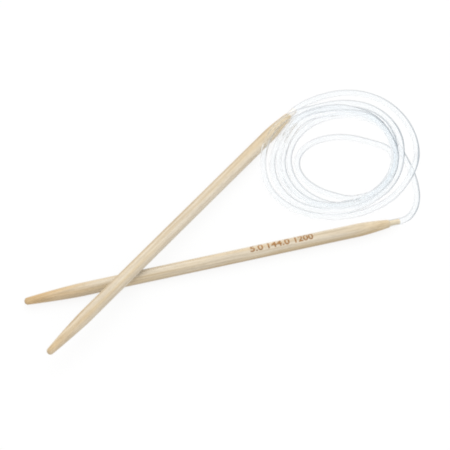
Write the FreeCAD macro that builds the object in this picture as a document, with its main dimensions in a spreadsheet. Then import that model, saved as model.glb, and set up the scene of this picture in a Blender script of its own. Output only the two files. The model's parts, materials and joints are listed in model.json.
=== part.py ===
"""Circular knitting needle: two turned bamboo tips joined by one soft, clear, hollow cord.

Millimetres, +Z up, with the table at Z = 0. The origin lies on the table, in the middle of the box that the
two tips fill. The lower tip lies flat on the table, and the upper tip lies across it with its nose raised.
Each tip ends in a thin spigot. Each end of the cord is pushed over a spigot, up to the shoulder, and glued.
The rest of the cord lies on the table in a loose coil, which starts at the tail of the upper tip. A short
lead runs from the coil to the lower tip.
"""
import FreeCAD, Part
import math
import os
import Sketcher

from FreeCAD import Placement, Rotation, Vector

SIZES = [
    # alias, value in millimetres or degrees, meaning
    ("needle_length", 1200, "both tips and the cord, from nose to nose"),
    ("tip_length", 144, "one tip, from its nose to the end of its spigot"),
    ("shaft_diameter", 5, "the straight middle of a tip"),
    ("nose_diameter", 2.7, "rounded end of the nose"),
    ("nose_taper", 20.5, "from the end of the nose to the straight shaft"),
    ("nose_curve", 380, "radius of the slightly full side of the nose"),
    ("tail_taper", 11.8, "from the straight shaft to the shoulder"),
    ("tail_curve", 120, "radius of the slightly full side of the tail"),
    ("shoulder_diameter", 2.9, "end of the tail, which the cord butts against"),
    ("spigot_diameter", 1.6, "pin inside the end of the cord"),
    ("spigot_length", 4.2, "from the shoulder to the end of the tip"),
    ("spigot_chamfer", 0.2, "broken edge at the end of the spigot"),
    ("cord_diameter", 2.4, "outside of the free cord"),
    ("cord_bore", 1.4, "inside of the free cord"),
    ("glue_film", 0.03, "glue between a spigot and the cord"),
    ("sleeve_ease", 1, "past the spigot, where the stretched cord gets back to its free size"),
    ("lower_heading", 13.94, "degrees from +X to the lower tip, nose to tail"),
    ("lower_tail_x", 69.83, "end of the lower tip's spigot"),
    ("lower_tail_y", 4.68, "end of the lower tip's spigot"),
    ("upper_heading", 50.76, "degrees from +X to the upper tip, nose to tail"),
    ("upper_tail_x", 31.13, "end of the upper tip's spigot"),
    ("upper_tail_y", 55.62, "end of the upper tip's spigot"),
    ("rest_gap", 0.1, "between the two shafts where they cross"),
    ("coil_bearing", -52.5, "degrees from +X, from the end of the upper sleeve to the coil's middle"),
    ("coil_half_width", 27.8, "short half axis of the coil's outside"),
    ("coil_longer", 3, "by how much the long half axis is longer"),
    ("coil_turned", 44, "degrees from +X to the long axis"),
    ("opening_right", 2.2, "from the coil's middle to the middle of its opening, along +X"),
    ("opening_near", 4.9, "from the coil's middle to the middle of its opening, along -Y"),
    ("opening_half_width", 12.3, "short half axis of the coil's opening"),
    ("opening_longer", 5, "by how much the long half axis is longer"),
    ("opening_turned", -4, "degrees from +X to the long axis"),
    ("turns_abreast", 2, "turns of cord beside each other, which sets how high the coil is"),
    ("coil_bevel", 1.2, "slope of the coil's upper edges, outside and inside"),
    ("tail_clearance", 0.3, "between the coil and the tail of the upper tip beside it"),
]

# Route of the lead after the end of the lower sleeve. It leaves the spigot in line, sinks to the table and
# swings round to the left. Its last points lie inside the coil, which trims it.
LEAD_ROUTE = [
    (73.2, 5.5, 2.5),
    (75.5, 6.9, 2.3),
    (77.2, 9.1, 2.0),
    (78.2, 12.1, 1.7),
    (78.4, 15.9, 1.4),
    (77.7, 20.6, 1.2),
    (76.2, 25.8, 1.2),
    (73.9, 31.3, 1.2),
    (70.5, 36.8, 1.2),
]
# How high the coil is: the cord's length, as turns of the coil's mean length, laid a few abreast.
COIL_HEIGHT_RULE = (
    "Sizes.cord_diameter / Sizes.turns_abreast * (Sizes.needle_length - 2 * Sizes.tip_length)"
    " / (pi * sqrt(((Sizes.coil_half_width + Sizes.coil_longer"
    " + Sizes.opening_half_width + Sizes.opening_longer)^2"
    " + (Sizes.coil_half_width + Sizes.opening_half_width)^2) / 2))"
)
ARC_SHARE = 0.45      # part of the shorter run that an arc of the lead takes up
SAME_VOLUME = 0.01    # how nearly the lead's volume has to match its section times its length


def make_sheet(doc):
    """The spreadsheet of driving sizes, with an alias in each row."""
    sheet = doc.addObject("Spreadsheet::Sheet", "Sizes")
    for row, (alias, value, meaning) in enumerate(SIZES, start=1):
        sheet.set("A%d" % row, alias)
        sheet.set("B%d" % row, str(value))
        sheet.set("C%d" % row, meaning)
        sheet.setAlias("B%d" % row, alias)
    doc.recompute()
    return sheet


def origin_plane(body, role):
    """One of a body's own origin planes."""
    return next(item for item in body.Origin.OriginFeatures if item.Role == role)


def new_profile(doc, name):
    """A body, and an empty sketch on its own XZ plane, whose X is the axis that the profile turns about."""
    body = doc.addObject("PartDesign::Body", name)
    body.Label = name
    sketch = body.newObject("Sketcher::SketchObject", name + "_profile")
    sketch.AttachmentSupport = (origin_plane(body, "XZ_Plane"), [""])
    sketch.MapMode = "FlatFace"
    return body, sketch


def line(sketch, start, end):
    """A straight side of a profile, from start to end, each given as (along the axis, off the axis)."""
    return sketch.addGeometry(Part.LineSegment(Vector(*start, 0), Vector(*end, 0)), False)


def full_arc(sketch, left, right, radius):
    """A side that bulges away from the axis, with the radius given. Its first point is the right one."""
    left = Vector(*left, 0)
    right = Vector(*right, 0)
    chord = right - left
    inward = Vector(chord.y, -chord.x, 0).normalize()
    depth = math.sqrt(radius ** 2 - (chord.Length / 2) ** 2)
    centre = (left + right) * 0.5 + inward * depth
    circle = Part.Circle(centre, Vector(0, 0, 1), radius)
    arc = Part.ArcOfCircle(circle, circle.parameter(right), circle.parameter(left))
    return sketch.addGeometry(arc, False)


def join(sketch, first, first_end, second, second_end):
    """Joins an end of one side to an end of another."""
    sketch.addConstraint(Sketcher.Constraint("Coincident", first, first_end, second, second_end))


def drive(sketch, name, constraint, expression):
    """Adds a named dimension that follows the sheet."""
    index = sketch.addConstraint(constraint)
    sketch.renameConstraint(index, name)
    sketch.setExpression("Constraints." + name, expression)


def revolve(body, sketch):
    """Turns a closed profile once about its X axis."""
    revolution = body.newObject("PartDesign::Revolution", body.Name + "_turned")
    revolution.Profile = sketch
    revolution.ReferenceAxis = (sketch, ["H_Axis"])
    revolution.Angle = 360
    sketch.Visibility = False
    return revolution


def make_tip(doc, name, sheet):
    """A turned tip along +X from its nose at the origin: domed end, full taper, shaft, tail and spigot."""
    body, sketch = new_profile(doc, name)
    nose = sheet.nose_diameter / 2
    shaft = sheet.shaft_diameter / 2
    shoulder = sheet.shoulder_diameter / 2
    pin = sheet.spigot_diameter / 2
    end = sheet.tip_length
    pin_start = end - sheet.spigot_length
    tail_start = pin_start - sheet.tail_taper
    chamfer = sheet.spigot_chamfer

    dome_circle = Part.Circle(Vector(nose, 0, 0), Vector(0, 0, 1), nose)
    dome = sketch.addGeometry(Part.ArcOfCircle(dome_circle, math.pi / 2, math.pi), False)
    nose_side = full_arc(sketch, (nose, nose), (sheet.nose_taper, shaft), sheet.nose_curve)
    shaft_side = line(sketch, (sheet.nose_taper, shaft), (tail_start, shaft))
    tail_side = full_arc(sketch, (tail_start, shaft), (pin_start, shoulder), sheet.tail_curve)
    shoulder_face = line(sketch, (pin_start, shoulder), (pin_start, pin))
    pin_side = line(sketch, (pin_start, pin), (end - chamfer, pin))
    chamfer_side = line(sketch, (end - chamfer, pin), (end, pin - chamfer))
    end_face = line(sketch, (end, pin - chamfer), (end, 0))
    axis = line(sketch, (end, 0), (0, 0))

    join(sketch, dome, 2, -1, 1)
    join(sketch, dome, 1, nose_side, 2)
    join(sketch, nose_side, 1, shaft_side, 1)
    join(sketch, shaft_side, 2, tail_side, 2)
    join(sketch, tail_side, 1, shoulder_face, 1)
    join(sketch, shoulder_face, 2, pin_side, 1)
    join(sketch, pin_side, 2, chamfer_side, 1)
    join(sketch, chamfer_side, 2, end_face, 1)
    join(sketch, end_face, 2, axis, 1)
    join(sketch, axis, 2, -1, 1)
    for side in (shaft_side, pin_side, axis):
        sketch.addConstraint(Sketcher.Constraint("Horizontal", side))
    for side in (shoulder_face, end_face):
        sketch.addConstraint(Sketcher.Constraint("Vertical", side))
    sketch.addConstraint(Sketcher.Constraint("PointOnObject", dome, 3, -1))
    sketch.addConstraint(Sketcher.Constraint("Vertical", dome, 3, dome, 1))

    drive(sketch, "nose_radius", Sketcher.Constraint("Radius", dome, nose), "Sizes.nose_diameter / 2")
    drive(sketch, "nose_taper", Sketcher.Constraint("DistanceX", -1, 1, shaft_side, 1, sheet.nose_taper),
          "Sizes.nose_taper")
    drive(sketch, "shaft_radius", Sketcher.Constraint("DistanceY", -1, 1, shaft_side, 1, shaft),
          "Sizes.shaft_diameter / 2")
    drive(sketch, "nose_curve", Sketcher.Constraint("Radius", nose_side, sheet.nose_curve),
          "Sizes.nose_curve")
    drive(sketch, "tail_taper", Sketcher.Constraint("DistanceX", shaft_side, 2, pin_side, 1,
                                                    sheet.tail_taper), "Sizes.tail_taper")
    drive(sketch, "shoulder_radius", Sketcher.Constraint("DistanceY", -1, 1, shoulder_face, 1, shoulder),
          "Sizes.shoulder_diameter / 2")
    drive(sketch, "tail_curve", Sketcher.Constraint("Radius", tail_side, sheet.tail_curve),
          "Sizes.tail_curve")
    drive(sketch, "spigot_length", Sketcher.Constraint("DistanceX", pin_side, 1, end_face, 2,
                                                       sheet.spigot_length), "Sizes.spigot_length")
    drive(sketch, "spigot_radius", Sketcher.Constraint("DistanceY", -1, 1, pin_side, 1, pin),
          "Sizes.spigot_diameter / 2")
    drive(sketch, "chamfer_along", Sketcher.Constraint("DistanceX", chamfer_side, 1, chamfer_side, 2,
                                                       chamfer), "Sizes.spigot_chamfer")
    drive(sketch, "chamfer_deep", Sketcher.Constraint("DistanceY", chamfer_side, 2, chamfer_side, 1, chamfer),
          "Sizes.spigot_chamfer")
    drive(sketch, "tip_length", Sketcher.Constraint("DistanceX", -1, 1, end_face, 2, end),
          "Sizes.tip_length")
    revolve(body, sketch)
    return body


def make_sleeve(doc, name, sheet):
    """The end of the cord, along +X from the shoulder: stretched over the spigot, then back to free size."""
    body, sketch = new_profile(doc, name)
    wall = (sheet.cord_diameter - sheet.cord_bore) / 2
    inner = sheet.spigot_diameter / 2 + sheet.glue_film
    outer = inner + wall
    bore = sheet.cord_bore / 2
    free = sheet.cord_diameter / 2
    pin_end = sheet.spigot_length
    end = pin_end + sheet.sleeve_ease

    start_face = line(sketch, (0, inner), (0, outer))
    outer_side = line(sketch, (0, outer), (pin_end, outer))
    outer_ease = line(sketch, (pin_end, outer), (end, free))
    end_face = line(sketch, (end, free), (end, bore))
    inner_ease = line(sketch, (end, bore), (pin_end, inner))
    inner_side = line(sketch, (pin_end, inner), (0, inner))
    sides = [start_face, outer_side, outer_ease, end_face, inner_ease, inner_side]
    for side, following in zip(sides, sides[1:] + sides[:1]):
        join(sketch, side, 2, following, 1)
    for side in (outer_side, inner_side):
        sketch.addConstraint(Sketcher.Constraint("Horizontal", side))
    for side in (start_face, end_face):
        sketch.addConstraint(Sketcher.Constraint("Vertical", side))
    sketch.addConstraint(Sketcher.Constraint("Vertical", outer_side, 2, inner_side, 1))
    sketch.addConstraint(Sketcher.Constraint("PointOnObject", start_face, 1, -2))

    inner_rule = "Sizes.spigot_diameter / 2 + Sizes.glue_film"
    drive(sketch, "inner_radius", Sketcher.Constraint("DistanceY", -1, 1, start_face, 1, inner), inner_rule)
    drive(sketch, "wall", Sketcher.Constraint("DistanceY", start_face, 1, start_face, 2, wall),
          "(Sizes.cord_diameter - Sizes.cord_bore) / 2")
    drive(sketch, "free_radius", Sketcher.Constraint("DistanceY", -1, 1, end_face, 1, free),
          "Sizes.cord_diameter / 2")
    drive(sketch, "bore_radius", Sketcher.Constraint("DistanceY", -1, 1, end_face, 2, bore),
          "Sizes.cord_bore / 2")
    drive(sketch, "spigot_length", Sketcher.Constraint("DistanceX", start_face, 2, outer_side, 2, pin_end),
          "Sizes.spigot_length")
    drive(sketch, "sleeve_ease", Sketcher.Constraint("DistanceX", outer_ease, 1, outer_ease, 2,
                                                     sheet.sleeve_ease), "Sizes.sleeve_ease")
    revolve(body, sketch)
    return body


def heading_direction(degrees):
    """The level direction at an angle from +X."""
    angle = math.radians(degrees)
    return Vector(math.cos(angle), math.sin(angle), 0)


def lay_tips(sheet):
    """Where both tips lie, as placements of their noses, and the middle of the layout on the table.

    The upper tip touches the table where its tail starts to taper, and clears the lower one at the crossing.
    """
    radius = sheet.shaft_diameter / 2
    lower = heading_direction(sheet.lower_heading)
    upper = heading_direction(sheet.upper_heading)
    lower_tail = Vector(sheet.lower_tail_x, sheet.lower_tail_y, radius)
    upper_tail = Vector(sheet.upper_tail_x, sheet.upper_tail_y, 0)
    apart = upper_tail - lower_tail
    crossing = (apart.x * lower.y - apart.y * lower.x) / (upper.x * lower.y - upper.y * lower.x)
    tail = sheet.tail_taper + sheet.spigot_length
    tilt = math.atan((sheet.shaft_diameter + sheet.rest_gap) / (crossing - tail))
    upper_tail.z = radius * math.cos(tilt) - tail * math.sin(tilt)

    places = []
    for end, heading, lean in ((lower_tail, sheet.lower_heading, 0.0),
                               (upper_tail, sheet.upper_heading, math.degrees(tilt))):
        turn = Rotation(Vector(0, 0, 1), heading) * Rotation(Vector(0, 1, 0), lean)
        nose = end - turn.multVec(Vector(sheet.tip_length, 0, 0))
        places.append(Placement(nose, turn))
    return places


def box_middle(shapes):
    """The middle, in plan, of the box around some shapes."""
    box = FreeCAD.BoundBox()
    for shape in shapes:
        box.add(shape.optimalBoundingBox(True, False))
    return Vector(box.Center.x, box.Center.y, 0)


def oval_reach(half_width, longer, angle):
    """From the middle of an oval to its outline, at an angle in degrees from its long axis."""
    along = math.cos(math.radians(angle)) / (half_width + longer)
    across = math.sin(math.radians(angle)) / half_width
    return 1 / math.hypot(along, across)


def make_prism(doc, name, oval, position, turned):
    """An upright prism on the table, as high as the wound cord is, with the sheet's sizes for an oval."""
    outline = doc.addObject("Part::Ellipse", name + "_outline")
    outline.Placement = Placement(position, Rotation(Vector(0, 0, 1), turned))
    outline.setExpression("MajorRadius", "Sizes.%s_half_width + Sizes.%s_longer" % (oval, oval))
    outline.setExpression("MinorRadius", "Sizes.%s_half_width" % oval)
    outline.Visibility = False
    prism = doc.addObject("Part::Extrusion", name)
    prism.Base = outline
    prism.DirMode = "Custom"
    prism.Dir = Vector(0, 0, 1)
    prism.Solid = True
    prism.setExpression("LengthFwd", COIL_HEIGHT_RULE)
    return prism


def make_coil(doc, sheet, upper_place):
    """The outer shape of the wound cord: an oval ring, notched where the tail of the upper tip lies.

    The outside passes one cord radius beyond the end of the upper sleeve, where the coil starts. The end
    wall of the notch is square to the tip, and the end of the sleeve butts against it.
    """
    start = upper_place.multVec(Vector(sheet.tip_length + sheet.sleeve_ease, 0, 0))
    outward = sheet.coil_bearing + 180
    reach = oval_reach(sheet.coil_half_width, sheet.coil_longer, outward - sheet.coil_turned)
    inward = heading_direction(sheet.coil_bearing) * (reach - sheet.cord_diameter / 2)
    coil_middle = Vector(start.x, start.y, 0) + inward
    opening_middle = coil_middle + Vector(sheet.opening_right, -sheet.opening_near, 0)
    outside = make_prism(doc, "coil_outside", "coil", coil_middle, sheet.coil_turned)
    opening = make_prism(doc, "coil_opening", "opening", opening_middle, sheet.opening_turned)
    ring = doc.addObject("Part::Cut", "coil_ring")
    ring.Base = outside
    ring.Tool = opening
    doc.recompute()

    bevelled = doc.addObject("Part::Chamfer", "coil_bevelled")
    bevelled.Base = ring
    top = outside.LengthFwd.Value
    bevelled.Edges = [(number, sheet.coil_bevel, sheet.coil_bevel)
                      for number, edge in enumerate(ring.Shape.Edges, start=1)
                      if edge.BoundBox.ZMin > top / 2]

    notch = doc.addObject("Part::Box", "coil_notch")
    side = sheet.shaft_diameter / 2 + sheet.tail_clearance
    sleeve_end = sheet.tip_length + sheet.sleeve_ease
    length = 2 * (sheet.tail_taper + sheet.spigot_length)
    notch.Length = length
    notch.Width = side + sheet.coil_half_width
    notch.Height = 4 * top
    notch.Placement = upper_place * Placement(Vector(sleeve_end - length, -side, -2 * top), Rotation())

    coil = doc.addObject("Part::Cut", "cord_coil")
    coil.Label = "cord_coil"
    coil.Base = bevelled
    coil.Tool = notch
    return coil


def rounded_route(points):
    """Straight runs between the points, joined by the largest tangent arcs that fit, and their radii."""
    edges = []
    radii = []
    start = points[0]
    for before, corner, after in zip(points, points[1:], points[2:]):
        back = before - corner
        forward = after - corner
        shorter = min(back.Length, forward.Length)
        turn = math.pi - back.getAngle(forward)
        cut = ARC_SHARE * shorter
        radius = cut / math.tan(turn / 2)
        back.normalize()
        forward.normalize()
        arc_start = corner + back * cut
        arc_end = corner + forward * cut
        inward = (back + forward).normalize()
        arc_middle = corner + inward * (radius / math.cos(turn / 2) - radius)
        edges.append(Part.LineSegment(start, arc_start).toShape())
        edges.append(Part.Arc(arc_start, arc_middle, arc_end).toShape())
        radii.append(radius)
        start = arc_end
    edges.append(Part.LineSegment(start, points[-1]).toShape())
    return Part.Wire(edges), radii


def make_lead(doc, sheet, start, along, middle, coil):
    """The stretch of cord from the end of the lower sleeve to the coil, which trims it to a face."""
    points = [start] + [Vector(*point) - middle for point in LEAD_ROUTE]
    route, radii = rounded_route(points)
    print("lead radii, mm:", [round(radius, 1) for radius in radii])
    section = Part.Wire([Part.Circle(start, along, sheet.cord_diameter / 2).toShape()])
    tube = route.makePipeShell([section], True, False)
    expected = math.pi * (sheet.cord_diameter / 2) ** 2 * route.Length
    print("lead length %.1f mm, volume %.2f mm3, section times length %.2f mm3"
          % (route.Length, tube.Volume, expected))
    if abs(tube.Volume - expected) > SAME_VOLUME * expected:
        raise ValueError("the lead's volume isn't its section times its length")
    lead = doc.addObject("Part::Feature", "cord_lead")
    lead.Label = "cord_lead"
    stretches = tube.cut(coil.Shape).Solids
    lead.Shape = min(stretches, key=lambda solid: solid.distToShape(Part.Vertex(start))[0])
    return lead


def check(doc, nodes):
    """Stops unless every object was made and every node is one valid solid."""
    for item in doc.Objects:
        if "Invalid" in item.State or "Error" in item.State:
            raise ValueError("%s: %s" % (item.Name, item.State))
    for node in nodes:
        shape = node.Shape
        if shape.isNull() or not shape.isValid() or len(shape.Solids) != 1:
            raise ValueError("%s isn't one valid solid" % node.Label)
        box = shape.BoundBox
        print("%-20s %9.1f mm3  X %7.2f %7.2f  Y %7.2f %7.2f  Z %6.2f %6.2f"
              % (node.Label, shape.Volume, box.XMin, box.XMax, box.YMin, box.YMax, box.ZMin, box.ZMax))


def main():
    doc = FreeCAD.newDocument("circular_knitting_needle")
    sheet = make_sheet(doc)

    tips = [make_tip(doc, "tip_lower", sheet), make_tip(doc, "tip_upper", sheet)]
    sleeves = [make_sleeve(doc, "cord_sleeve_lower", sheet), make_sleeve(doc, "cord_sleeve_upper", sheet)]
    doc.recompute()

    places = lay_tips(sheet)
    for tip, place in zip(tips, places):
        tip.Placement = place
    middle = box_middle([tip.Shape for tip in tips])
    print("middle of the two tips: %.3f, %.3f" % (middle.x, middle.y))
    to_shoulder = Placement(Vector(sheet.tip_length - sheet.spigot_length, 0, 0), Rotation())
    for tip, sleeve, place in zip(tips, sleeves, places):
        place.Base = place.Base - middle
        tip.Placement = place
        sleeve.Placement = place * to_shoulder

    coil = make_coil(doc, sheet, places[1])
    doc.recompute()
    lower = places[0]
    lead_start = lower.multVec(Vector(sheet.tip_length + sheet.sleeve_ease, 0, 0))
    along = lower.Rotation.multVec(Vector(1, 0, 0))
    lead = make_lead(doc, sheet, lead_start, along, middle, coil)
    doc.recompute()

    nodes = tips + sleeves + [lead, coil]
    check(doc, nodes)
    os.makedirs("parts", exist_ok=True)
    for node in nodes:
        node.Shape.exportStep("parts/%s.step" % node.Label)


main()
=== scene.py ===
"""Circular knitting needle: two turned bamboo tips laid crossed, and the clear hollow cord that joins them,
wound in a loose flat coil. Blender metres, +Z up, with the table at Z = 0.
"""
import json
import math

import bmesh
import bpy
import numpy as np
from mathutils import Matrix, Vector


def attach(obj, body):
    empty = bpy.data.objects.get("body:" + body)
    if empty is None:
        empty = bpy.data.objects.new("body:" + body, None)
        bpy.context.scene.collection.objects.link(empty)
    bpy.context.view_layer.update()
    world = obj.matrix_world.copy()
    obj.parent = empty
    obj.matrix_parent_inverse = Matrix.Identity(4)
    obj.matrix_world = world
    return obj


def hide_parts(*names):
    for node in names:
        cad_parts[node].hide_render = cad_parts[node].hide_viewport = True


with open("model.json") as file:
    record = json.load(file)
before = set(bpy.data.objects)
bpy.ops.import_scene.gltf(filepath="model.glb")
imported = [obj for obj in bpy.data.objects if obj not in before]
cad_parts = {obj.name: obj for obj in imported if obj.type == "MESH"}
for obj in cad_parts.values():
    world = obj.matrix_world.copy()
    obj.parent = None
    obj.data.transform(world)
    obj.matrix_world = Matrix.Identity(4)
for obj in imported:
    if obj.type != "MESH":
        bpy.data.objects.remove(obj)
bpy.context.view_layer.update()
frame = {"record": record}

MM = 0.001
WHITE = (1, 1, 1)
BLACK = (0, 0, 0)

# Sizes of a tip, in millimetres. A tip is modelled along +Z, from the end of its nose.
TIP_LENGTH = 144.0
SHAFT_RADIUS = 2.5
NOSE_RADIUS = 1.35
NOSE_TAPER = 20.5
NOSE_CURVE = 380.0        # the nose's sides bulge a little, with this radius
TAIL_TAPER = 11.8
TAIL_CURVE = 120.0        # and the tail's with this one
SHOULDER_RADIUS = 1.45
SPIGOT_RADIUS = 0.8
SPIGOT_LENGTH = 4.2
SPIGOT_CHAMFER = 0.2
SPIGOT_START = TIP_LENGTH - SPIGOT_LENGTH
TAIL_START = SPIGOT_START - TAIL_TAPER
TIP_SIDES = 72
DOME_STEPS = 8
TAPER_STEPS = 14
SHAFT_STEPS = 30
TIP_CREASE = 32           # edges sharper than this stay sharp, in degrees

# Sizes of the cord, in millimetres, and its length in metres.
CORD_RADIUS = 1.2
BORE_RADIUS = 0.7
SLEEVE_RADIUS = 1.33      # the cord is stretched to this over a spigot
SLEEVE_BORE = 0.77        # a little less than the spigot, because it is pressed and glued on
SLEEVE_EASE = 1.0         # the cord narrows again over this length past the spigot
CORD_SIDES = 24
BORE_SIDES = 16
RING = CORD_SIDES + BORE_SIDES
CORD_CREASE = 40          # in degrees, as for a tip

# The uncoiled stretches, in metres. The first follows the end of the upper tip's spigot, and the second
# runs from the coil to the end of the lower tip's spigot.
UPPER_LEAD = [
    (0.0330, 0.0573, 0.0014),
]
LOWER_LEAD = [
    (0.0705, 0.0388, 0.0012),
    (0.0739, 0.0313, 0.0012),
    (0.0760, 0.0248, 0.0012),
    (0.0769, 0.0190, 0.0012),
    (0.0768, 0.0146, 0.0013),
    (0.0758, 0.0108, 0.0015),
    (0.0743, 0.0080, 0.0018),
    (0.0727, 0.0061, 0.0022),
]

# The coil, seen from above. It is wound clockwise, and turns are counted from its right side. The cord
# follows one oval after another, and moves across from each to the next between them: the turns at which it
# comes to an oval and leaves it, the oval's middle x and y, its long and short half axes in millimetres,
# and the degrees from +X to its long axis.
TURN_OVALS = [
    (-1.00, -0.25, 45.9, 32.8, 35.9, 27.5, 41.0),
    (0.00, 0.75, 48.0, 33.2, 30.2, 25.1, 22.0),
    (1.00, 1.75, 46.8, 32.7, 25.3, 23.0, 32.0),
    (2.00, 2.75, 46.9, 33.4, 23.0, 21.3, 43.0),
    (3.00, 3.84, 47.3, 31.5, 21.9, 20.8, 50.0),
    (4.00, 4.16, 49.5, 30.6, 19.5, 19.2, -30.0),
    (4.29, 4.86, 50.4, 29.6, 19.1, 13.4, -9.0),
    (4.98, 5.05, 49.3, 31.0, 19.5, 17.5, 14.0),
    (5.25, 6.00, 50.0, 32.8, 21.6, 20.5, 14.0),
]
FIRST_TURN = -0.31
LAST_TURN = 5.92
LAST_PASS = 4.15          # from here on the cord lies on the table, under the turns laid before
POINTS_PER_TURN = 24
BEFORE_COIL = -0.01       # turns given to the points before the coil, and after it
AFTER_COIL = 99.0
HEIGHT_STEPS = 8          # parts that the line has between two points while its heights are found
TUBE_STEPS = 6            # and when it carries the tube

# How the turns lie on each other, in millimetres.
SIDE_BY_SIDE = 2.2        # turns nearer to each other than this, seen from above, lie on each other
STACK_STEP = 2.3          # height from one cord's middle to the next at a crossing
SAME_STRETCH = 14.0       # less cord than this between two points doesn't lie on itself
STIFF_RADIUS = 12.0       # the cord climbs and sinks no more sharply than this
STIFF_REACH = 40.0        # over this length on both sides
TIP_GAP = 0.05            # between the tail of a tip and the cord over it
SHOULDER_STEP = 0.1       # over this length the shoulder of a tip steps down to the sleeve
SETTLING_ROUNDS = 4
SMOOTHING_ROUNDS = 8
FAR = 99.0                # more than any height in the coil

# The numbers burnt into the lower tip: what, and where it starts and ends along the tip in millimetres.
MARKS = [("5.0", 85.9, 90.9), ("144.0", 92.7, 101.1), ("1200", 103.1, 110.2)]
MARK_HEIGHT = 2.7
MARK_LEAN = 9             # degrees round the shaft from its top
MARK_FILM = 0.012         # the scorched film stands this far off the shaft
MARK_CUTS = 12            # bands that the numbers are cut into, so that they follow the shaft's curve
MARK_BOLDNESS = 0.022     # as a share of the letters' size, as the next one is
MARK_MERGE = 0.0005

# What tells the tips apart: the mount at the nose, the node that the tip stands for, how far the grain is
# moved in millimetres, the darker side, as a direction across the tip, and the colours. The darker side is
# the stem's rind on the upper tip and painted shade on the lower tip's front underside. A longer direction
# darkens more of the tip.
# The spigot's colour is painted sheen of the clear sleeve over it.
TIPS = {
    "bamboo_tip_lower": {
        "mount": "lower_nose", "node": "tip_lower",
        "grain_shift": (3.1, 7.7, 0.0), "skin_and_shade_side": (-0.30, -0.17, 0.0),
        "pale": (0.60, 0.53, 0.42), "tan": (0.47, 0.395, 0.29),
        "nose_tint": (0.88, 0.72, 0.50), "glued": (0.62, 0.55, 0.42),
    },
    "bamboo_tip_upper": {
        "mount": "upper_nose", "node": "tip_upper",
        "grain_shift": (21.3, -4.9, 61.0), "skin_and_shade_side": (0.37, 0.14, 0.0),
        "pale": (0.60, 0.535, 0.43), "tan": (0.48, 0.405, 0.30),
        "nose_tint": (0.93, 0.84, 0.70), "glued": (0.82, 0.79, 0.76),
    },
}

# The look of the bamboo.
DARK_FIBRE = 0.74         # the colour of dark fibres, as a share of the tan
BUNDLE_STRENGTH = 0.45
PORE_STRENGTH = 0.40
DARK_SIDE_RAGGEDNESS = 0.30    # how far the streaks break up the edge of the darker side
BAND_SHADES = [(0.38, WHITE), (0.66, (0.92, 0.84, 0.70))]
# The darker side's colour: the stem's rind on the upper tip, painted shade on the lower tip.
SKIN_AND_SHADE_COLOURS = [(0.72, WHITE), (0.98, (0.82, 0.74, 0.62))]
TAIL_TINT = (0.98, 0.93, 0.83)
SLEEVE_SHEEN_COVER = (0.75, 0.75, 0.75)     # how far the painted sheen of the clear sleeve hides the spigot's wood
SLEEVE_SHEEN_EDGE = 0.002         # as a share of the tip's length
SCORCH_SHADES = [(0.35, (0.14, 0.06, 0.015)), (0.65, (0.42, 0.21, 0.07))]

# The look of the clear plastic. Shades and tints are what is left of the light.
SKIN_INDEX = 1.3
BORE_INDEX = 1.15
RIPPLE_SCALE = 90.0       # ripples in a metre
CLEAR_SHADES = [(0.3, (0.972, 0.980, 0.985)), (0.7, (0.966, 0.976, 0.983))]
# The rim darkens where the surface curves away: partly the longer path through the wall, partly painted shade
# of the outline.
RIM_ABSORPTION_AND_SHADE = [(0.27, WHITE), (0.44, (0.20, 0.25, 0.30)), (0.72, (0.03, 0.05, 0.07))]
# The rim's painted shade: its share on each side, the side where it is strongest, how it grows along +X, and
# its share behind.
SIDE_SHARES = [(0.25, (0.12, 0.12, 0.12)), (0.90, WHITE)]
PAINTED_SHADE_SIDE = (0.90, 0.32, 0.30)
PAINTED_SHADE_SLOPE = 16.0        # the rim's painted shade grows by this in each metre along +X, up to 1
PAINTED_SHADE_AT_ORIGIN = 0.32    # its strength at X = 0
PAINTED_SHADE_BEHIND = 0.15       # its share on surfaces that are seen through others, or mirrored in them

# A Mix node's sockets for colours, by number, because their names are shared with its other sockets.
MIX_FACTOR = 0
MIX_FIRST = 6
MIX_SECOND = 7
MIX_RESULT = 2

# The studio.
CAMERA_PLACE = (0.00406, -0.45956, 0.7745)
CAMERA_PITCH = 30.93      # degrees from straight down
LENS_LENGTH = 191.5
BRIGHT_SIDE = (0.10, 0.50, 0.86)
SKY_SHADES = [(0.12, (0.28, 0.28, 0.29)), (0.50, (0.71, 0.72, 0.73)), (0.88, (1.0, 1.0, 1.0))]
LAMP_PLACE = (0.05, 0.50, 0.85)
LAMP_SIZE = 0.7


# Pieces

def select_only(pieces):
    """Selects these objects and no others, and makes the first of them active."""
    bpy.ops.object.select_all(action="DESELECT")
    for piece in pieces:
        piece.select_set(True)
    bpy.context.view_layer.objects.active = pieces[0]


def face_outwards():
    """Turns all faces of the piece in edit mode outwards, and leaves edit mode."""
    bpy.ops.mesh.select_all(action="SELECT")
    bpy.ops.mesh.normals_make_consistent(inside=False)
    bpy.ops.object.mode_set(mode="OBJECT")


def settle(piece, place):
    """Applies a place to a piece's mesh, so that its object sits at the origin."""
    piece.matrix_world = place
    select_only([piece])
    bpy.ops.object.transform_apply(location=True, rotation=True, scale=True)


# Tips

def arc_stations(start, end, curve_radius):
    """Stations along a side that bulges outwards, after its start, as (along, radius) pairs."""
    start = Vector(start)
    chord = Vector(end) - start
    outward = Vector((-chord.y, chord.x)).normalized()
    half = chord.length / 2
    sink = math.sqrt(curve_radius ** 2 - half ** 2)
    stations = []
    for step in range(1, TAPER_STEPS + 1):
        share = step / TAPER_STEPS
        from_middle = (share - 0.5) * chord.length
        bulge = math.sqrt(curve_radius ** 2 - from_middle ** 2) - sink
        point = start + chord * share + outward * bulge
        stations.append((point.x, point.y))
    return stations


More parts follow.
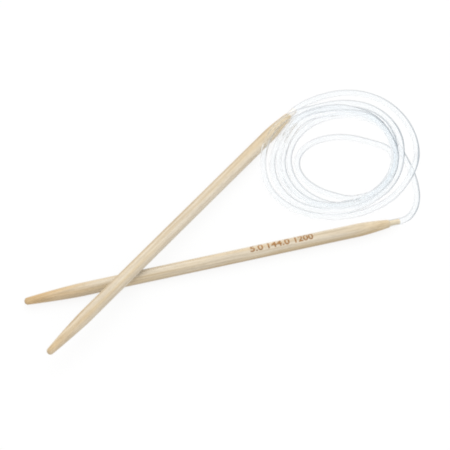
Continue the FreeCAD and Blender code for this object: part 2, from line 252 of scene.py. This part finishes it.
def tip_profile():
    """The turned profile after the pole of the nose, as (along, radius) pairs in millimetres."""
    profile = []
    for step in range(1, DOME_STEPS + 1):
        angle = math.pi / 2 * step / DOME_STEPS
        profile.append((NOSE_RADIUS * (1 - math.cos(angle)), NOSE_RADIUS * math.sin(angle)))
    profile += arc_stations((NOSE_RADIUS, NOSE_RADIUS), (NOSE_TAPER, SHAFT_RADIUS), NOSE_CURVE)
    for step in range(1, SHAFT_STEPS + 1):
        along = NOSE_TAPER + (TAIL_START - NOSE_TAPER) * step / SHAFT_STEPS
        profile.append((along, SHAFT_RADIUS))
    profile += arc_stations((TAIL_START, SHAFT_RADIUS), (SPIGOT_START, SHOULDER_RADIUS), TAIL_CURVE)
    profile.append((SPIGOT_START, SPIGOT_RADIUS))
    profile.append((TIP_LENGTH - SPIGOT_CHAMFER, SPIGOT_RADIUS))
    profile.append((TIP_LENGTH, SPIGOT_RADIUS - SPIGOT_CHAMFER))
    return profile


def tip_place(mount_name):
    """The place of a tip modelled along +Z: its nose is at a mount of the record, which points outwards."""
    mount = next(m for m in frame["record"]["mounts"] if m["name"] == mount_name)
    to_tail = -Vector(mount["axis"]).normalized()
    up = (Vector((0, 0, 1)) - to_tail * to_tail.z).normalized()
    side = up.cross(to_tail)
    turn = Matrix((side, up, to_tail)).transposed().to_4x4()
    return Matrix.Translation(Vector(mount["pos_m"])) @ turn


def turn_tip(name, place):
    """A tip: a ring is drawn out of the nose's pole and from station to station along the profile."""
    profile = tip_profile()
    along, radius = profile[0]
    bpy.ops.object.select_all(action="DESELECT")
    bpy.ops.mesh.primitive_circle_add(vertices=TIP_SIDES, radius=radius * MM, fill_type="TRIFAN",
                                      location=(0, 0, 0))
    tip = bpy.context.object
    tip.name = tip.data.name = name
    for corner in tip.data.vertices:
        if corner.co.length > radius * MM / 2:
            corner.co.z = along * MM
    bpy.ops.object.mode_set(mode="EDIT")
    bpy.ops.mesh.select_mode(type="VERT")
    bpy.ops.mesh.select_all(action="DESELECT")
    bpy.ops.mesh.select_non_manifold()
    for next_along, next_radius in profile[1:]:
        bpy.ops.mesh.extrude_region_move(
            TRANSFORM_OT_translate={"value": (0, 0, (next_along - along) * MM)})
        if next_radius != radius:
            grow = next_radius / radius
            bpy.ops.transform.resize(value=(grow, grow, 1))
        along, radius = next_along, next_radius
    bpy.ops.mesh.edge_face_add()
    face_outwards()
    settle(tip, place)
    bpy.ops.object.shade_smooth_by_angle(angle=math.radians(TIP_CREASE))
    return tip


def wrap_number(words, start, end):
    """One of the numbers, cut into bands and bent round a shaft that lies along +Z."""
    bpy.ops.object.select_all(action="DESELECT")
    bpy.ops.object.text_add()
    text = bpy.context.object
    text.data.body = words
    text.data.offset = MARK_BOLDNESS
    bpy.ops.object.convert(target="MESH")
    number = bpy.context.object
    corners = np.array([corner.co for corner in number.data.vertices])
    low, high = corners.min(0), corners.max(0)
    film = bmesh.new()
    film.from_mesh(number.data)
    bmesh.ops.remove_doubles(film, verts=film.verts, dist=MARK_MERGE)
    for cut in range(1, MARK_CUTS):
        level = low[1] + (high[1] - low[1]) * cut / MARK_CUTS
        parts = film.verts[:] + film.edges[:] + film.faces[:]
        bmesh.ops.bisect_plane(film, geom=parts, plane_co=(0, level, 0), plane_no=(0, 1, 0))
    film.to_mesh(number.data)
    film.free()
    reach = SHAFT_RADIUS + MARK_FILM
    for corner in number.data.vertices:
        along = start + (end - start) * (corner.co.x - low[0]) / (high[0] - low[0])
        across = MARK_HEIGHT * ((corner.co.y - low[1]) / (high[1] - low[1]) - 0.5)
        angle = math.radians(MARK_LEAN) + across / SHAFT_RADIUS
        corner.co = Vector((reach * math.sin(angle), reach * math.cos(angle), along)) * MM
    return number


def burn_marks(name, place):
    """The numbers, joined into one film of scorched wood, on the tip that has this place."""
    select_only([wrap_number(*mark) for mark in MARKS])
    bpy.ops.object.join()
    marks = bpy.context.object
    marks.name = marks.data.name = name
    settle(marks, place)
    return marks


# Cord

def spline_line(points, steps):
    """The line of one smooth spline with these points as its control points, as an array in metres."""
    route = bpy.data.curves.new("cord_route", "CURVE")
    route.dimensions = "3D"
    route.resolution_u = steps
    spline = route.splines.new("NURBS")
    spline.points.add(len(points) - 1)
    for knot, point in zip(spline.points, points):
        knot.co = (*point, 1.0)
    spline.order_u = 3
    spline.use_endpoint_u = True
    carrier = bpy.data.objects.new("cord_route", route)
    bpy.context.scene.collection.objects.link(carrier)
    bpy.context.view_layer.update()
    line_mesh = bpy.data.meshes.new_from_object(carrier)
    line = np.array([corner.co for corner in line_mesh.vertices])
    bpy.data.objects.remove(carrier)
    bpy.data.curves.remove(route)
    bpy.data.meshes.remove(line_mesh)
    return line


def length_along(line):
    """How far along a line each of its points is."""
    runs = np.linalg.norm(np.diff(line, axis=0), axis=1)
    return np.concatenate([[0], np.cumsum(runs)])


def ease(share):
    """A share from 0 to 1, with a soft start and a soft end."""
    return share * share * (3 - 2 * share)


def oval_point(oval, bearing):
    """The point of an oval in a direction from its middle, in millimetres."""
    middle_x, middle_y, long_half, short_half, tilt = oval[2:]
    from_long = bearing - math.radians(tilt)
    reach = 1 / math.hypot(math.cos(from_long) / long_half, math.sin(from_long) / short_half)
    reach /= math.cos(math.pi / POINTS_PER_TURN)     # the spline passes a little inside its points
    return Vector((middle_x + reach * math.cos(bearing), middle_y + reach * math.sin(bearing)))


def coil_points():
    """The coil's points, seen from above in millimetres, and how many turns each is from the start."""
    points = []
    turns = []
    count = round((LAST_TURN - FIRST_TURN) * POINTS_PER_TURN)
    for step in range(count + 1):
        turn = FIRST_TURN + (LAST_TURN - FIRST_TURN) * step / count
        bearing = -2 * math.pi * turn
        number = max(index for index, oval in enumerate(TURN_OVALS) if turn >= oval[0])
        leaves = TURN_OVALS[number][1]
        point = oval_point(TURN_OVALS[number], bearing)
        if turn > leaves:
            following = TURN_OVALS[number + 1]
            across = ease((turn - leaves) / (following[0] - leaves))
            point = point.lerp(oval_point(following, bearing), across)
        points.append(point)
        turns.append(turn)
    return points, turns


def tail_floor(line, nose, tail):
    """How high the cord's middle has to be to pass over a tip, in millimetres, and 0 clear of it."""
    axis = tail - nose
    level = math.hypot(axis.x, axis.y)
    along = ((line[:, 0] - nose.x) * axis.x + (line[:, 1] - nose.y) * axis.y) / level
    aside = np.abs((line[:, 1] - nose.y) * axis.x - (line[:, 0] - nose.x) * axis.y) / level
    share = along / level
    stations = [NOSE_TAPER, TAIL_START, SPIGOT_START, SPIGOT_START + SHOULDER_STEP, TIP_LENGTH]
    radii = [SHAFT_RADIUS, SHAFT_RADIUS, SHOULDER_RADIUS, SLEEVE_RADIUS, SLEEVE_RADIUS]
    reach = np.interp(share * TIP_LENGTH, stations, radii) + CORD_RADIUS + TIP_GAP
    over = (share > 0) & (share < 1 + SLEEVE_EASE / TIP_LENGTH) & (aside < reach)
    middle = nose.z + share * axis.z
    return np.where(over, middle + np.sqrt(np.maximum(reach ** 2 - aside ** 2, 0)), 0)


def lay_heights(line, laid, floor):
    """How high each point of the cord lies, in millimetres: on its floor, or on cord that was laid before.

    The floor is the table or a tip, and laid is the order in which the points are laid.
    """
    along = length_along(line[:, :2])
    apart = np.linalg.norm(line[:, None, :2] - line[None, :, :2], axis=2)
    between = np.abs(along[:, None] - along[None, :])
    crossing = (apart < SIDE_BY_SIDE) & (between > SAME_STRETCH)
    rise = STACK_STEP * np.sqrt(np.maximum(1 - (apart / SIDE_BY_SIDE) ** 2, 0))
    rise = np.where(crossing, rise, -FAR)
    sag = np.where(between < STIFF_REACH, between ** 2 / (2 * STIFF_RADIUS), FAR)
    height = floor.copy()
    for settling in range(SETTLING_ROUNDS):
        risen = floor.copy()
        for order in sorted(set(laid)):
            now = laid == order
            below = laid < order
            if below.any():
                needed = (height[None, below] + rise[np.ix_(now, below)]).max(1)
                risen[now] = np.maximum(risen[now], needed)
            height = np.where(laid <= order, risen, height)
        height = (risen[None, :] - sag).max(1)
    for smoothing in range(SMOOTHING_ROUNDS):
        height[1:-1] = (height[:-2] + 2 * height[1:-1] + height[2:]) / 4
    return height


def cord_points(upper_place, lower_place):
    """The control points of the whole cord in metres, from one shoulder to the other."""
    stations = (SPIGOT_START, TIP_LENGTH, TIP_LENGTH + SLEEVE_EASE)
    shoulder, pin_end, sleeve_end = [Vector((0, 0, 1)) * along * MM for along in stations]
    upper_start = [upper_place @ point for point in (shoulder, pin_end, sleeve_end)]
    lower_end = [lower_place @ point for point in (sleeve_end, pin_end, shoulder)]

    coil, turns = coil_points()
    flat = upper_start + [Vector(point) for point in UPPER_LEAD]
    before = len(flat)
    flat += [Vector((*point, CORD_RADIUS)) * MM for point in coil]
    after = len(flat)
    flat += [Vector(point) for point in LOWER_LEAD] + lower_end

    line = spline_line(flat, HEIGHT_STEPS) / MM
    last = len(flat) - 2
    share = np.linspace(0, last, len(line))
    knots = np.concatenate([[0], np.arange(1, len(flat) - 1) - 0.5, [last]])
    order = [BEFORE_COIL] * before + turns + [AFTER_COIL] * (len(flat) - after)
    turn = np.interp(share, knots, order)
    laid = np.floor(turn) + 1        # each turn lies on the turns before it,
    laid[turn > LAST_PASS] = -1      # and the last stretch under them all
    own = np.interp(share, knots, [point.z / MM for point in flat])
    nose = upper_place @ Vector() / MM
    tail = upper_place @ pin_end / MM
    floor = np.where(share < before, own, np.maximum(own, tail_floor(line, nose, tail)))
    heights = np.interp(knots, share, lay_heights(line, laid, floor)) * MM
    for number in range(before, after):
        flat[number].z = heights[number]
    return flat


def tube_corners(line):
    """The corners of a hollow tube along a line, ring after ring, each with its outside before its bore."""
    along = length_along(line) / MM
    from_end = np.minimum(along, along[-1] - along)
    stretch = 1 - ease(np.clip((from_end - SPIGOT_LENGTH) / SLEEVE_EASE, 0, 1))
    outside = (CORD_RADIUS + (SLEEVE_RADIUS - CORD_RADIUS) * stretch) * MM
    inside = (BORE_RADIUS + (SLEEVE_BORE - BORE_RADIUS) * stretch) * MM
    tangents = [Vector(step) for step in np.gradient(line, axis=0)]
    side = tangents[0].orthogonal().normalized()
    corners = []
    for number, tangent in enumerate(tangents):
        tangent = tangent.normalized()
        side = (side - tangent * side.dot(tangent)).normalized()
        other = tangent.cross(side)
        middle = Vector(line[number])
        for sides, radius in ((CORD_SIDES, outside[number]), (BORE_SIDES, inside[number])):
            for step in range(sides):
                angle = 2 * math.pi * step / sides
                corners.append(middle + (side * math.cos(angle) + other * math.sin(angle)) * radius)
    return corners


def tube_faces(count):
    """The faces between the rings of a hollow tube with this many rings."""
    faces = []
    for here in range(0, (count - 1) * RING, RING):
        there = here + RING
        for step in range(CORD_SIDES):
            beside = (step + 1) % CORD_SIDES
            faces.append((here + step, here + beside, there + beside, there + step))
        for step in range(BORE_SIDES):
            low = CORD_SIDES + step
            high = CORD_SIDES + (step + 1) % BORE_SIDES
            faces.append((here + high, here + low, there + low, there + high))
    return faces


def draw_tube(name, line):
    """A hollow tube along a line: wider over the spigots, and with a ring of wall at both ends."""
    mesh = bpy.data.meshes.new(name)
    mesh.from_pydata(tube_corners(line), [], tube_faces(len(line)))
    cord = bpy.data.objects.new(name, mesh)
    bpy.context.scene.collection.objects.link(cord)
    select_only([cord])
    for first in (0, (len(line) - 1) * RING):
        bpy.ops.object.mode_set(mode="EDIT")
        bpy.ops.mesh.select_mode(type="EDGE")
        bpy.ops.mesh.select_all(action="DESELECT")
        bpy.ops.object.mode_set(mode="OBJECT")
        for edge in mesh.edges:
            edge.select = min(edge.vertices) >= first and max(edge.vertices) < first + RING
        bpy.ops.object.mode_set(mode="EDIT")
        bpy.ops.mesh.bridge_edge_loops()
        bpy.ops.object.mode_set(mode="OBJECT")
    bpy.ops.object.mode_set(mode="EDIT")
    face_outwards()
    bpy.ops.object.shade_smooth_by_angle(angle=math.radians(CORD_CREASE))
    return cord


# Materials

def new_material(name):
    """A material with an empty node tree but for its output."""
    material = bpy.data.materials.new(name)
    material.use_nodes = True
    material.node_tree.nodes.clear()
    output = material.node_tree.nodes.new("ShaderNodeOutputMaterial")
    return material, material.node_tree, output


def new_group(name, inputs, outputs):
    """A shader group with these sockets, given by name and kind, and its own input and output nodes."""
    group = bpy.data.node_groups.new(name, "ShaderNodeTree")
    for in_out, sockets in (("INPUT", inputs), ("OUTPUT", outputs)):
        for socket, kind in sockets.items():
            group.interface.new_socket(socket, in_out=in_out, socket_type="NodeSocket" + kind)
    inlet = group.nodes.new("NodeGroupInput")
    outlet = group.nodes.new("NodeGroupOutput")
    return group, inlet, outlet


def place_group(tree, group, vector):
    """A shader group in a material, read at a vector."""
    node = tree.nodes.new("ShaderNodeGroup")
    node.node_tree = group
    tree.links.new(vector, node.inputs["Vector"])
    return node


def math_node(tree, operation, *values):
    """A Math node whose inputs are sockets or plain numbers."""
    node = tree.nodes.new("ShaderNodeMath")
    node.operation = operation
    for socket, value in zip(node.inputs, values):
        if isinstance(value, bpy.types.NodeSocket):
            tree.links.new(value, socket)
        else:
            socket.default_value = value
    return node.outputs[0]


def lean_node(tree, source, direction):
    """How far a vector leans towards a direction: their dot product."""
    node = tree.nodes.new("ShaderNodeVectorMath")
    node.operation = "DOT_PRODUCT"
    node.inputs[1].default_value = direction
    tree.links.new(source, node.inputs[0])
    return node.outputs["Value"]


def ramp_node(tree, source, stops):
    """A Color Ramp of (position, colour) stops, read at a socket."""
    node = tree.nodes.new("ShaderNodeValToRGB")
    ramp = node.color_ramp
    while len(ramp.elements) < len(stops):
        ramp.elements.new(0.5)
    for element, (position, colour) in zip(ramp.elements, stops):
        element.position = position
        element.color = (*colour, 1)
    tree.links.new(source, node.inputs[0])
    return node.outputs[0]


def mix_node(tree, factor, first, second, blend="MIX"):
    """A Mix node for colours, whose inputs are sockets or plain values."""
    node = tree.nodes.new("ShaderNodeMix")
    node.data_type = "RGBA"
    node.blend_type = blend
    for number, value in ((MIX_FACTOR, factor), (MIX_FIRST, first), (MIX_SECOND, second)):
        socket = node.inputs[number]
        if isinstance(value, bpy.types.NodeSocket):
            tree.links.new(value, socket)
        elif isinstance(value, float):
            socket.default_value = value
        else:
            socket.default_value = (*value, 1)
    return node.outputs[MIX_RESULT]


def bump_node(tree, height, strength, distance):
    """A Bump node over a height."""
    node = tree.nodes.new("ShaderNodeBump")
    node.inputs["Strength"].default_value = strength
    node.inputs["Distance"].default_value = distance
    tree.links.new(height, node.inputs["Height"])
    return node.outputs[0]


def fibre_group():
    """Shader group of bamboo fibres that run along Z of the vector that it is given, in millimetres."""
    masks = {"Streaks": "Float", "Bundles": "Float", "Bands": "Float", "Pores": "Float"}
    group, inlet, outlet = new_group("bamboo_fibres", {"Vector": "Vector", "Fineness": "Float"}, masks)

    def stretched_noise(across, along, detail, roughness):
        """Noise drawn out along the tip: its scale across and along the fibres, per millimetre."""
        mapping = group.nodes.new("ShaderNodeMapping")
        mapping.inputs["Scale"].default_value = (across, across, along)
        group.links.new(inlet.outputs["Vector"], mapping.inputs["Vector"])
        noise = group.nodes.new("ShaderNodeTexNoise")
        noise.inputs["Detail"].default_value = detail
        noise.inputs["Roughness"].default_value = roughness
        group.links.new(mapping.outputs[0], noise.inputs["Vector"])
        group.links.new(inlet.outputs["Fineness"], noise.inputs["Scale"])
        return noise.outputs[0]

    streaks = stretched_noise(across=1.5, along=0.03, detail=5.0, roughness=0.65)
    bundles = stretched_noise(across=2.6, along=0.05, detail=3.0, roughness=0.5)
    bands = stretched_noise(across=0.55, along=0.02, detail=2.0, roughness=0.5)
    pores = stretched_noise(across=3.2, along=0.45, detail=2.0, roughness=0.5)
    bundles = ramp_node(group, bundles, [(0.55, BLACK), (0.68, WHITE)])
    pores = ramp_node(group, pores, [(0.52, BLACK), (0.70, WHITE)])
    for name, mask in zip(masks, (streaks, bundles, bands, pores)):
        group.links.new(mask, outlet.inputs[name])
    return group


def ripple_group():
    """Shader group of the clear plastic's faint unevenness: its height, its tint and its roughness."""
    outputs = {"Ripple": "Float", "Tint": "Color", "Roughness": "Float"}
    group, inlet, outlet = new_group("plastic_ripple", {"Vector": "Vector"}, outputs)
    noise = group.nodes.new("ShaderNodeTexNoise")
    noise.inputs["Scale"].default_value = RIPPLE_SCALE
    noise.inputs["Detail"].default_value = 1.0
    group.links.new(inlet.outputs["Vector"], noise.inputs["Vector"])
    ripple = noise.outputs[0]
    tint = ramp_node(group, ripple, CLEAR_SHADES)
    rough = math_node(group, "MULTIPLY", ripple, 0.01)
    for name, source in zip(outputs, (ripple, tint, rough)):
        group.links.new(source, outlet.inputs[name])
    return group


def tip_coordinates(tree, place):
    """Object coordinates turned into a tip's own frame, in millimetres along +Z from its nose."""
    coordinates = tree.nodes.new("ShaderNodeTexCoord")
    home = tree.nodes.new("ShaderNodeMapping")
    home.vector_type = "TEXTURE"
    home.inputs["Location"].default_value = place.translation
    home.inputs["Rotation"].default_value = place.to_euler()
    home.inputs["Scale"].default_value = (MM, MM, MM)
    tree.links.new(coordinates.outputs["Object"], home.inputs["Vector"])
    return home.outputs[0]


def bamboo_material(name, fibres, place, look):
    """Pale waxed bamboo: long fibres, darker bundles, one darker side, a warmer nose, and a satin finish.

    The darker side is the stem's rind on the upper tip and painted shade on the lower. The spigot is whitened
    with painted sheen of the clear sleeve round it.
    """
    material, tree, output = new_material(name)
    own = tip_coordinates(tree, place)
    shifted = tree.nodes.new("ShaderNodeMapping")
    shifted.inputs["Location"].default_value = look["grain_shift"]
    tree.links.new(own, shifted.inputs["Vector"])
    fibre = place_group(tree, fibres, shifted.outputs[0])
    fibre.inputs["Fineness"].default_value = 1.0
    streaks = fibre.outputs["Streaks"]

    wood = ramp_node(tree, streaks, [(0.34, look["tan"]), (0.58, look["pale"])])
    dark = tuple(channel * DARK_FIBRE for channel in look["tan"])
    bundles = math_node(tree, "MULTIPLY", fibre.outputs["Bundles"], BUNDLE_STRENGTH)
    wood = mix_node(tree, bundles, wood, dark)
    bands = ramp_node(tree, fibre.outputs["Bands"], BAND_SHADES)
    wood = mix_node(tree, 1.0, wood, bands, "MULTIPLY")
    pores = math_node(tree, "MULTIPLY", fibre.outputs["Pores"], PORE_STRENGTH)
    wood = mix_node(tree, pores, wood, dark)
    # One side darker: the stem's rind on the upper tip, painted shade along the lower tip's shaded front
    # underside.
    lean = lean_node(tree, own, look["skin_and_shade_side"])
    skin_and_shade = math_node(tree, "MULTIPLY_ADD", streaks, DARK_SIDE_RAGGEDNESS, lean)
    wood = mix_node(tree, 1.0, wood, ramp_node(tree, skin_and_shade, SKIN_AND_SHADE_COLOURS), "MULTIPLY")

    split = tree.nodes.new("ShaderNodeSeparateXYZ")
    tree.links.new(own, split.inputs[0])
    along = math_node(tree, "DIVIDE", split.outputs["Z"], TIP_LENGTH)
    ends = ramp_node(tree, along, [(0.0, look["nose_tint"]), (0.02, look["nose_tint"]),
                                   (0.19, WHITE), (0.84, WHITE), (0.95, TAIL_TINT)])
    wood = mix_node(tree, 1.0, wood, ends, "MULTIPLY")
    # Painted sheen: the spigot under the clear sleeve is whitened in place of the sleeve's own sheen over it.
    shoulder = SPIGOT_START / TIP_LENGTH
    glue = ramp_node(tree, along, [(shoulder - SLEEVE_SHEEN_EDGE, BLACK), (shoulder + SLEEVE_SHEEN_EDGE, SLEEVE_SHEEN_COVER)])
    wood = mix_node(tree, glue, wood, look["glued"])

    shader = tree.nodes.new("ShaderNodeBsdfPrincipled")
    shader.inputs["Specular IOR Level"].default_value = 0.3
    tree.links.new(wood, shader.inputs["Base Color"])
    rough = math_node(tree, "MULTIPLY_ADD", streaks, 0.25, 0.34)
    tree.links.new(rough, shader.inputs["Roughness"])
    relief = math_node(tree, "SUBTRACT", streaks, fibre.outputs["Pores"])
    bump = bump_node(tree, relief, strength=0.25, distance=0.00003)
    tree.links.new(bump, shader.inputs["Normal"])
    tree.links.new(shader.outputs[0], output.inputs["Surface"])
    return material


def burnt_material(name, fibres, place):
    """Scorched wood: brown, darker in patches, and broken by the fibres that it is burnt into."""
    material, tree, output = new_material(name)
    fibre = place_group(tree, fibres, tip_coordinates(tree, place))
    fibre.inputs["Fineness"].default_value = 2.0
    streaks = fibre.outputs["Streaks"]
    shader = tree.nodes.new("ShaderNodeBsdfPrincipled")
    shader.inputs["Specular IOR Level"].default_value = 0.3
    tree.links.new(ramp_node(tree, streaks, SCORCH_SHADES), shader.inputs["Base Color"])
    rough = math_node(tree, "MULTIPLY_ADD", streaks, 0.2, 0.55)
    tree.links.new(rough, shader.inputs["Roughness"])
    tree.links.new(shader.outputs[0], output.inputs["Surface"])
    return material


def rim_with_painted_shade(tree, coordinates, rays, tint):
    """A tint darkened where the surface curves away: partly the longer path through the wall, partly painted
    shade.

    The painted shade is strongest on one side and away from the tips, and on the first surface that is seen.
    """
    slope = tree.nodes.new("ShaderNodeLayerWeight")
    slope.inputs["Blend"].default_value = 0.5
    rim = ramp_node(tree, slope.outputs["Facing"], RIM_ABSORPTION_AND_SHADE)
    # painted shade: stronger on the side that faces PAINTED_SHADE_SIDE
    lean = lean_node(tree, coordinates.outputs["Normal"], PAINTED_SHADE_SIDE)
    share = ramp_node(tree, math_node(tree, "MULTIPLY_ADD", lean, 0.5, 0.5), SIDE_SHARES)
    split = tree.nodes.new("ShaderNodeSeparateXYZ")
    tree.links.new(coordinates.outputs["Object"], split.inputs[0])
    # painted shade: stronger along +X, fainter over the tips
    reach = math_node(tree, "MULTIPLY_ADD", split.outputs["X"], PAINTED_SHADE_SLOPE, PAINTED_SHADE_AT_ORIGIN)
    share = math_node(tree, "MULTIPLY", share, math_node(tree, "MINIMUM", reach, 1.0))
    # painted shade: full only on the first surface seen
    first = math_node(tree, "MULTIPLY_ADD", rays.outputs["Is Camera Ray"], 1 - PAINTED_SHADE_BEHIND, PAINTED_SHADE_BEHIND)
    share = math_node(tree, "MULTIPLY", share, first)
    facing = tree.nodes.new("ShaderNodeNewGeometry")
    share = mix_node(tree, facing.outputs["Backfacing"], share, BLACK)
    rim = mix_node(tree, share, WHITE, rim)
    return mix_node(tree, 1.0, tint, rim, "MULTIPLY")


def clear_material(name, ripples, index, rim):
    """Clear soft plastic with a faintly uneven surface, and with a rim darkened by painted shade or without.

    Light on its way to the wood and the floor passes straight through.
    """
    material, tree, output = new_material(name)
    coordinates = tree.nodes.new("ShaderNodeTexCoord")
    ripple = place_group(tree, ripples, coordinates.outputs["Object"])
    rays = tree.nodes.new("ShaderNodeLightPath")
    tint = ripple.outputs["Tint"]
    if rim:
        tint = rim_with_painted_shade(tree, coordinates, rays, tint)
    shader = tree.nodes.new("ShaderNodeBsdfPrincipled")
    shader.inputs["Transmission Weight"].default_value = 1.0
    shader.inputs["IOR"].default_value = index
    tree.links.new(tint, shader.inputs["Base Color"])
    tree.links.new(ripple.outputs["Roughness"], shader.inputs["Roughness"])
    bump = bump_node(tree, ripple.outputs["Ripple"], strength=0.01, distance=0.0001)
    tree.links.new(bump, shader.inputs["Normal"])
    clear = tree.nodes.new("ShaderNodeBsdfTransparent")
    either = tree.nodes.new("ShaderNodeMixShader")
    through = math_node(tree, "MAXIMUM", rays.outputs["Is Shadow Ray"], rays.outputs["Is Diffuse Ray"])
    tree.links.new(through, either.inputs[0])
    tree.links.new(shader.outputs[0], either.inputs[1])
    tree.links.new(clear.outputs[0], either.inputs[2])
    tree.links.new(either.outputs[0], output.inputs["Surface"])
    return material


def give_material(piece, material):
    """The only material of a piece."""
    piece.data.materials.clear()
    piece.data.materials.append(material)


def line_bore(cord, material):
    """A material of its own for the wall of the cord's bore."""
    cord.data.materials.append(material)
    for face in cord.data.polygons:
        face.material_index = int(all(corner % RING >= CORD_SIDES for corner in face.vertices))


# Studio

def set_camera():
    """The camera: from the front, well above the table, with a long lens."""
    lens = bpy.data.cameras.new("camera")
    lens.lens = LENS_LENGTH
    lens.sensor_width = 36.0
    lens.clip_start = 0.05
    lens.clip_end = 20.0
    camera = bpy.data.objects.new("camera", lens)
    camera.location = CAMERA_PLACE
    camera.rotation_euler = (math.radians(CAMERA_PITCH), 0, 0)
    bpy.context.scene.collection.objects.link(camera)
    bpy.context.scene.camera = camera


def set_floor():
    """A plain pale floor, lit from inside as a light table is, to keep shadows faint."""
    bpy.ops.object.select_all(action="DESELECT")
    bpy.ops.mesh.primitive_plane_add(size=6.0, location=(0, 0, 0))
    floor = bpy.context.object
    floor.name = floor.data.name = "floor"
    material, tree, output = new_material("pale_floor")
    shader = tree.nodes.new("ShaderNodeBsdfPrincipled")
    shader.inputs["Base Color"].default_value = (0.10, 0.10, 0.10, 1)
    shader.inputs["Roughness"].default_value = 0.9
    shader.inputs["Specular IOR Level"].default_value = 0.0
    shader.inputs["Emission Color"].default_value = (1.0, 1.0, 1.0, 1)
    shader.inputs["Emission Strength"].default_value = 0.865
    tree.links.new(shader.outputs[0], output.inputs["Surface"])
    give_material(floor, material)


def set_lights():
    """Soft light from all round, weaker from the front and low down, and one wide lamp behind."""
    world = bpy.data.worlds.new("studio")
    bpy.context.scene.world = world
    world.use_nodes = True
    tree = world.node_tree
    tree.nodes.clear()
    output = tree.nodes.new("ShaderNodeOutputWorld")
    sky = tree.nodes.new("ShaderNodeBackground")
    coordinates = tree.nodes.new("ShaderNodeTexCoord")
    lean = lean_node(tree, coordinates.outputs["Generated"], BRIGHT_SIDE)
    shade = ramp_node(tree, math_node(tree, "MULTIPLY_ADD", lean, 0.5, 0.5), SKY_SHADES)
    tree.links.new(shade, sky.inputs["Color"])
    sky.inputs["Strength"].default_value = 1.45
    tree.links.new(sky.outputs[0], output.inputs["Surface"])
    lamp = bpy.data.lights.new("wide_lamp", "AREA")
    lamp.shape = "RECTANGLE"
    lamp.size = lamp.size_y = LAMP_SIZE
    lamp.energy = 2.2
    holder = bpy.data.objects.new("wide_lamp", lamp)
    holder.location = LAMP_PLACE
    holder.rotation_euler = (-holder.location).to_track_quat("-Z", "Y").to_euler()
    holder.visible_transmission = False
    holder.visible_glossy = False
    bpy.context.scene.collection.objects.link(holder)


def set_render():
    """Plain colours, and enough bounces for many walls of clear tube."""
    scene = bpy.context.scene
    scene.view_settings.view_transform = "Standard"
    scene.cycles.max_bounces = 40
    scene.cycles.transmission_bounces = 40
    scene.cycles.glossy_bounces = 12
    scene.cycles.transparent_max_bounces = 64
    scene.cycles.filter_width = 2.1


# The camera and the cord come first, then the tips and the numbers.
set_camera()
lower = tip_place("lower_nose")
upper = tip_place("upper_nose")
route = cord_points(upper, lower)
cord_line = spline_line(route, TUBE_STEPS)
cord = draw_tube("clear_cord", cord_line)
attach(cord, "root")
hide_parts("cord_sleeve_lower", "cord_sleeve_upper", "cord_lead", "cord_coil")
ripples = ripple_group()
give_material(cord, clear_material("clear_plastic", ripples, SKIN_INDEX, rim=True))
line_bore(cord, clear_material("clear_bore", ripples, BORE_INDEX, rim=False))

fibres = fibre_group()
for name, look in TIPS.items():
    place = tip_place(look["mount"])
    tip = turn_tip(name, place)
    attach(tip, "root")
    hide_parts(look["node"])
    give_material(tip, bamboo_material(name + "_wood", fibres, place, look))
marks = burn_marks("burnt_numbers", lower)
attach(marks, "root")
give_material(marks, burnt_material("scorched_wood", fibres, lower))

set_floor()
set_lights()
set_render()
